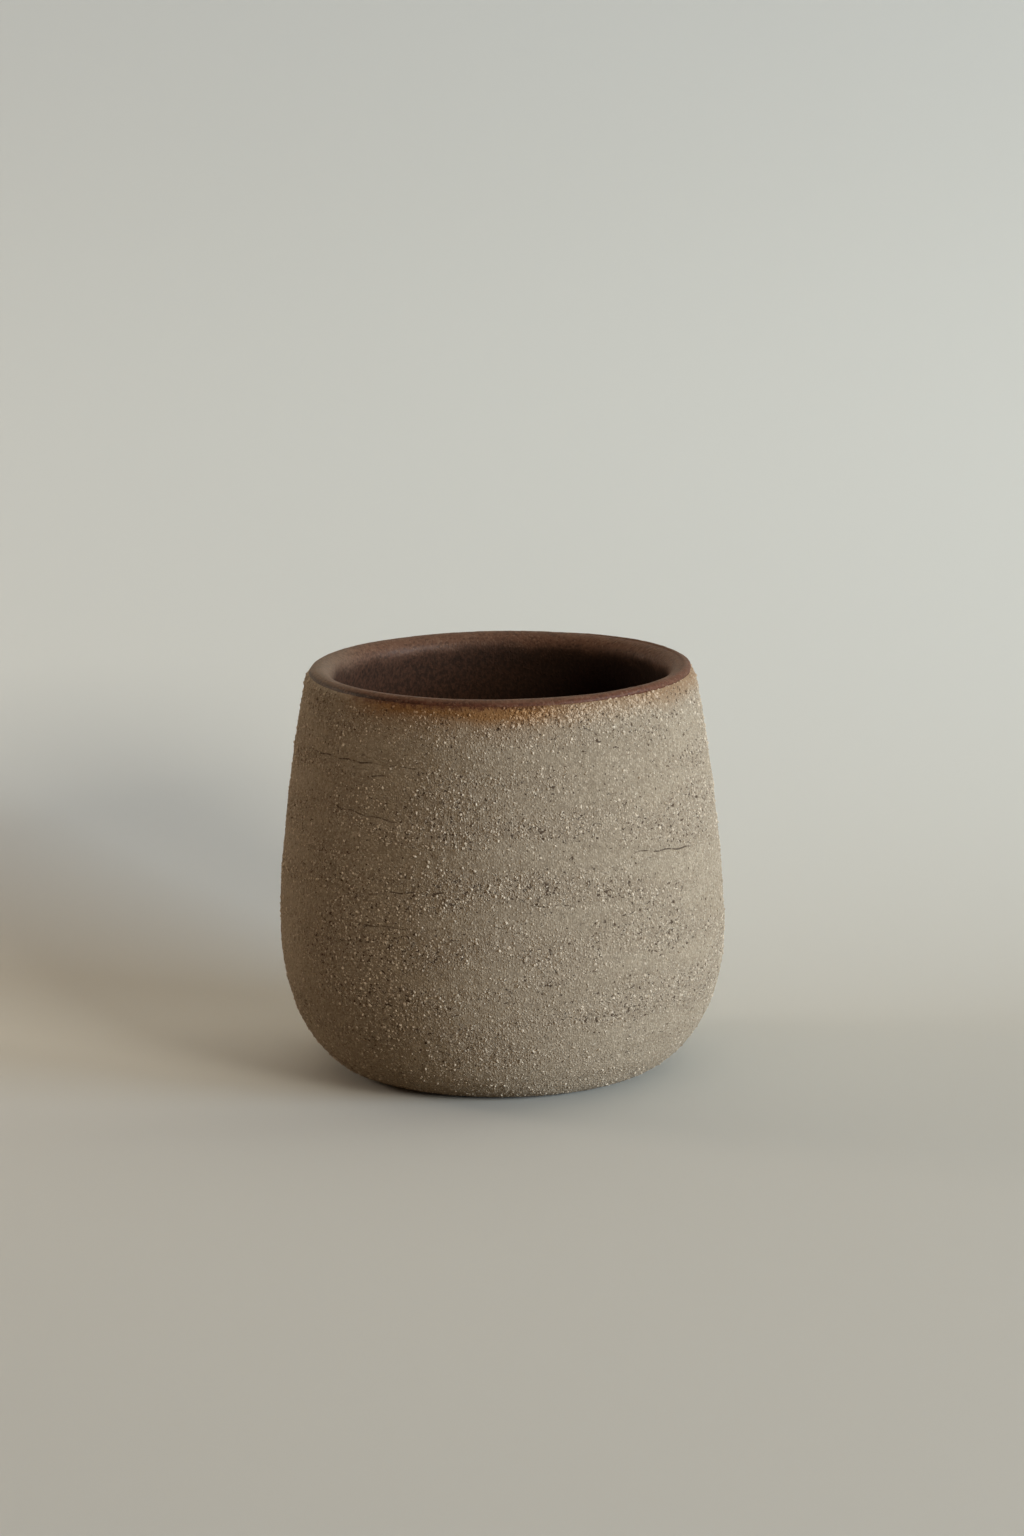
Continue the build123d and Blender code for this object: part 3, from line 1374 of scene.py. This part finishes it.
@dataclass
class GrogGrains:
    """Grog grains of one grade, half sunk in the bare clay."""

    clay: ClayBody
    grade: Grade
    slot: str = "bare_stoneware"
    foot_clearance: float = 0.9
    lip_clearance: float = 0.1
    calm_chance: float = 0.15
    chip_radius: float = 0.92
    breakage: float = 0.38
    break_evenness: float = 0.3
    break_outward: float = 0.2
    size_bias: float = 2.2
    lengths: Span = (0.8, 1.3)
    widths: Span = (0.8, 1.1)
    heights: Span = (0.55, 0.85)
    slides: Span = (-0.25, 0.25)
    depths: Span = (-0.25, 0.15)
    shapes: int = 6
    seed: int = 23
    points: list[Vector] = field(default_factory=list)
    faces: list[list[int]] = field(default_factory=list)
    tones: list[float] = field(default_factory=list)
    piece: Piece | None = None

    def grain_shapes(self) -> list[Mesh]:
        """Models a few broken grains, each from a small ball with its points shaken.

        Returns:
            Their meshes.
        """
        meshes = []
        for shape in range(self.shapes):
            bpy.ops.object.select_all(action="DESELECT")
            if self.grade.value.grain is Grain.CHUNK:
                bpy.ops.mesh.primitive_ico_sphere_add(subdivisions=1, radius=1.0)
            else:
                self.add_chip()
            ball = bpy.context.object
            shake = {"offset": self.breakage, "uniform": self.break_evenness, "normal": self.break_outward}
            with editing():
                bpy.ops.transform.vertex_random(**shake, seed=self.seed + shape)
            meshes.append(ball.data)
            bpy.data.objects.remove(ball)
        return meshes

    def add_chip(self) -> None:
        """Adds a ball of only eight faces: a pyramid and its mirror image, base to base."""
        radius = self.chip_radius
        sizes = {"radius1": radius, "radius2": 0.0, "depth": radius, "location": (0.0, 0.0, radius / 2)}
        bpy.ops.mesh.primitive_cone_add(vertices=4, end_fill_type="NOTHING", **sizes)
        bpy.ops.object.transform_apply(location=True, rotation=True, scale=True)
        apply_modifier(bpy.context.object, "MIRROR", use_axis=(False, False, True))
        close_seams()

    def build(self) -> None:
        """Seats copies of the grains on faces of the bare wall."""
        sieving = self.grade.value
        draw = random.Random(f"{self.seed} {sieving.piece}")
        seats = [face for face in self.clay.piece.data.polygons if self.bare(face)]
        shapes = self.grain_shapes()
        while len(self.faces) < sieving.count * sieving.grain.value:
            face = draw.choice(seats)
            if self.grade is Grade.CRUMB:
                chance = self.clay.under_lip(face.center)
            else:
                chance = self.calm_chance + (1.0 - self.calm_chance) * self.clay.coarseness(face.center)
            if draw.random() <= chance:
                self.seat(draw, face, draw.choice(shapes))
        mesh = bpy.data.meshes.new(sieving.piece)
        mesh.from_pydata(self.points, [], self.faces)
        note(mesh, "tone", self.tones)
        self.piece = bpy.data.objects.new(sieving.piece, mesh)
        bpy.context.scene.collection.objects.link(self.piece)
        for shape in shapes:
            bpy.data.meshes.remove(shape)

    def bare(self, face: Face) -> bool:
        """Tells whether a face of the clay is bare.

        Args:
            face: The face.

        Returns:
            True where it is outside, off the floor and clear of the glaze.
        """
        section = self.clay.section
        middle = face.center
        zones = {self.clay.zones[self.clay.row_of[index]] for index in face.vertices}
        outer = Zone.WALL in zones or math.hypot(middle.x, middle.y) > section.lip_centre_radius * MM
        top = section.glaze_line_height + section.lift_at(middle) - self.lip_clearance
        return zones <= {Zone.WALL, Zone.LIP} and outer and self.foot_clearance < middle.z / MM < top

    def seat(self, draw: random.Random, face: Face, shape: Mesh) -> None:
        """Adds one grain.

        Args:
            draw: Source of the random sizes.
            face: Face of the clay that it sits on.
            shape: Mesh of the grain.
        """
        sieving = self.grade.value
        size = sieving.smallest + (sieving.largest - sieving.smallest) * draw.random() ** self.size_bias
        spin = Matrix.Rotation(draw.uniform(0, math.tau), 3, "Z")
        tilt = face.normal.to_track_quat("Z", "Y").to_matrix()
        scale = Matrix.Diagonal([draw.uniform(*sizes) for sizes in (self.lengths, self.widths, self.heights)])
        matrix = tilt @ spin @ scale
        slide = tilt @ Vector((draw.uniform(*self.slides), draw.uniform(*self.slides), 0.0))
        centre = face.center + (slide - face.normal * size * draw.uniform(*self.depths)) * MM
        tone = sieving.least_tone + (1.0 - sieving.least_tone) * draw.random()
        start = len(self.points)
        self.points.extend(centre + matrix @ point.co * size * MM for point in shape.vertices)
        self.faces.extend([start + index for index in side.vertices] for side in shape.polygons)
        self.tones.extend([tone] * len(shape.vertices))

    def dress(self, material: Material) -> None:
        """Gives the grains their finish and their place on the frame."""
        seat_on_frame(self.piece, material)


@dataclass
class GlazeLining(TurnedPiece):
    """The coat of glaze over the inside and the lip."""

    name: str = "glaze_coat"
    node: str = "glaze_lining"
    slot: str = "dark_glaze"
    line_angle: float = 47.0
    bite: float = 0.3
    feather: float = 34.0
    feather_steps: int = 8
    feather_sink: float = 0.1
    edge_fade: float = 2.2
    lip_spacing: float = 0.25
    inside_spacing: float = 0.62
    back_spacing: float = 5.0
    back_lip_spacing: float = 1.5
    ruffles: tuple[Ruffle, ...] = (
        Ruffle("edge", 9.0, 0.4, way="Z"),
        Ruffle("edge", 1.3, 0.25, way="Z"),
        Ruffle("lip", 16.0, 0.14),
        Ruffle("inside", 1.5, 0.2),
    )

    def build(self) -> None:
        """Turns the coat and works its edge, lip and inside."""
        shape = self.section
        coat = shape.glaze_thickness
        crown = shape.lip(coat, self.lip_spacing, self.line_angle + self.feather)
        back = [
            *shape.lip(-self.bite, self.back_lip_spacing, self.line_angle),
            *shape.inside(0.0, 0.0, self.back_spacing),
        ]
        self.draw(
            (Zone.LIP, [*self.feathered_edge(coat), *crown]),
            (Zone.INSIDE, shape.inside(coat, shape.glaze_pool, self.inside_spacing)),
            (Zone.BACK, list(reversed(back))),
        )
        self.turn()
        self.paint("edge", self.edge_weights())
        self.paint("lip", self.zone_weights(Zone.LIP))
        self.paint("inside", self.zone_weights(Zone.INSIDE))
        self.paint("lifted_edge", self.lifted_weights())
        self.raise_group("lifted_edge", 1.0, way="Z")
        for ruffle in self.ruffles:
            ruffle.shape(self.piece)

    def feathered_edge(self, coat: float) -> list[Vector]:
        """Draws the outer edge of the coat, from inside the clay up to its full thickness.

        Args:
            coat: Full thickness of the coat.

        Returns:
            Points from the edge towards the crown.
        """
        shape = self.section
        edge = [shape.on_lip(shape.lip_radius - self.bite, self.line_angle)]
        for step in range(self.feather_steps):
            share = step / self.feather_steps
            thickness = (coat + self.feather_sink) * math.sin(share * math.pi / 2) - self.feather_sink
            edge.append(shape.on_lip(shape.lip_radius + thickness, self.line_angle + self.feather * share))
        return edge

    def edge_weights(self) -> list[float]:
        """Weighs the coat's outer edge.

        Returns:
            A weight for each point, which fades up the lip.
        """
        line = self.section.glaze_line_height
        weights = []
        for row in self.row_of:
            point = self.rows[row]
            outer = self.zones[row] is Zone.LIP and point.x > self.section.lip_centre_radius
            weights.append(smooth(line + self.edge_fade - point.z, 0.0, self.edge_fade) if outer else 0.0)
        return weights

    def lifted_weights(self) -> list[float]:
        """Millimetres by which each point of the edge is lifted, on the cup's right."""
        lifts = [self.section.lift_at(point.co) for point in self.piece.data.vertices]
        return [weight * lift for weight, lift in zip(self.edge_weights(), lifts)]

    def zone_weights(self, zone: Zone) -> list[float]:
        """Full weight on one zone of the coat."""
        return [1.0 if self.zones[row] is zone else 0.0 for row in self.row_of]


@dataclass(frozen=True)
class Lamp:
    """A soft rectangular lamp that faces the cup: angles in degrees, lengths in metres, power in watts."""

    name: str
    turn: float
    rise: float
    distance: float
    width: float
    height: float
    power: float
    tint: tuple[float, float, float]
    aim_height: float = 0.04

    def hang(self) -> None:
        """Hangs the lamp at its turn to the right of the camera and its rise over the floor."""
        turn, rise = math.radians(self.turn), math.radians(self.rise)
        way = Vector((math.sin(turn) * math.cos(rise), -math.cos(turn) * math.cos(rise), math.sin(rise)))
        bpy.ops.object.light_add(type="AREA", location=way * self.distance + spot(0.0, self.aim_height))
        lamp = bpy.context.object
        lamp.name = self.name
        lamp.rotation_euler = way.to_track_quat("Z", "Y").to_euler()
        lamp.data.shape = "RECTANGLE"
        lamp.data.size = self.width
        lamp.data.size_y = self.height
        lamp.data.energy = self.power
        lamp.data.color = self.tint


LAMPS = (
    Lamp("window_light", 69.0, 8.0, 2.2, 0.9, 0.7, 36.0, (0.865, 1.0, 1.125)),
    Lamp("warm_window_light", 41.0, 19.0, 2.2, 0.6, 0.6, 17.6, (0.98, 0.86, 0.7)),
    Lamp("ceiling_light", 20.0, 82.0, 1.1, 1.1, 1.1, 1.45, (1.0, 0.86, 0.69)),
    Lamp("left_bounce", -108.0, 15.0, 0.45, 0.12, 0.12, 0.37, (1.0, 0.79, 0.62)),
)


@dataclass
class Studio:
    """Plain pale sweep, soft light from the right and above, and the camera."""

    image_height: float = 1536.0
    focal_pixels: float = 6000.0
    sensor: float = 36.0
    camera_place: tuple[float, float, float] = (2.1, -1135.1, 295.0)
    camera_pitch: float = 11.764
    camera_roll: float = -0.6
    floor_front: float = 1600.0
    floor_back: float = 177.0
    floor_side: float = 2200.0
    wall_height: float = 1900.0
    curve_radius: float = 150.0
    curve_steps: int = 32
    fill: Colour = colour(0.075, 0.036, 0.016)
    backdrop: Colour = colour(0.57, 0.575, 0.52)

    def build(self) -> None:
        """Sets up the whole studio."""
        self.build_sweep()
        self.build_light()
        self.build_camera()
        bpy.context.scene.view_settings.view_transform = "Standard"

    def build_sweep(self) -> None:
        """Extrudes a floor up into a wall, and rounds the fold between them."""
        bpy.ops.object.select_all(action="DESELECT")
        bpy.ops.mesh.primitive_plane_add(size=1.0)
        sweep = bpy.context.object
        sweep.name = "pale_sweep"
        depth = self.floor_front + self.floor_back
        sweep.scale = (2 * self.floor_side * MM, depth * MM, 1.0)
        sweep.location = (0.0, (self.floor_back - self.floor_front) / 2 * MM, 0.0)
        bpy.ops.object.transform_apply(location=True, rotation=True, scale=True)
        with editing():
            bpy.ops.mesh.select_mode(type="EDGE")
            self.select_back(sweep)
            rise = {"value": (0.0, 0.0, self.wall_height * MM)}
            bpy.ops.mesh.extrude_region_move(TRANSFORM_OT_translate=rise)
            self.select_back(sweep, TINY)
            bpy.ops.mesh.bevel(offset=self.curve_radius * MM, segments=self.curve_steps, affect="EDGES")
        bpy.ops.object.shade_smooth()
        sweep.data.materials.append(PaperSweep().build())

    def select_back(self, sweep: Piece, top: float = math.inf) -> None:
        """Selects only the edges at the back of the sweep, in edit mode.

        Args:
            sweep: The sweep.
            top: Height that the edges stay under, in metres.
        """
        bpy.ops.mesh.select_all(action="DESELECT")
        bpy.ops.object.mode_set(mode="OBJECT")
        mesh = sweep.data
        back = self.floor_back * MM - TINY
        for edge in mesh.edges:
            ends = [mesh.vertices[index].co for index in edge.vertices]
            edge.select = all(end.y > back and end.z < top for end in ends)
        bpy.ops.object.mode_set(mode="EDIT")

    def build_light(self) -> None:
        """Hangs the lamps, with a weak warm fill all round."""
        for lamp in LAMPS:
            lamp.hang()
        world = bpy.data.worlds.new("warm_fill")
        world.use_nodes = True
        graph = Graph(world.node_tree)
        light = graph.node("ShaderNodeBackground", {"Color": self.fill, "Strength": 1.0})
        far = graph.node("ShaderNodeBackground", {"Color": self.backdrop, "Strength": 1.0})
        sky = graph.node("ShaderNodeMixShader", {0: graph.seen(), 1: light.outputs[0], 2: far.outputs[0]})
        graph.node("ShaderNodeOutputWorld", {"Surface": sky.outputs[0]})
        bpy.context.scene.world = world

    def build_camera(self) -> None:
        """Stands the camera where the cup's outline says it stood."""
        data = bpy.data.cameras.new("camera")
        data.sensor_width = self.sensor
        data.lens = self.sensor * self.focal_pixels / self.image_height
        camera = bpy.data.objects.new("camera", data)
        bpy.context.scene.collection.objects.link(camera)
        pitch = Euler((math.radians(90.0 - self.camera_pitch), 0.0, 0.0)).to_matrix()
        turned = pitch @ Matrix.Rotation(math.radians(self.camera_roll), 3, "Z")
        camera.matrix_world = Matrix.Translation(Vector(self.camera_place) * MM) @ turned.to_4x4()
        bpy.context.scene.camera = camera


def main() -> None:
    """Builds, dresses and stages the cup."""
    logging.basicConfig(level=logging.INFO, format="%(message)s")
    section = CupSection.from_frame()
    effects = SharedEffects(section)
    clay = ClayBody(section)
    clay.build()
    grades = [GrogGrains(clay, grade) for grade in Grade]
    for grains in grades:
        grains.build()
    glaze = GlazeLining(section)
    glaze.build()
    clay.dress(BareClay().build(effects))
    cream = GrogCream().build(effects)
    for grains in grades:
        grains.dress(cream)
    glaze.dress(DarkGlaze(section).build(effects))
    Studio().build()


if __name__ == "__main__":
    main()
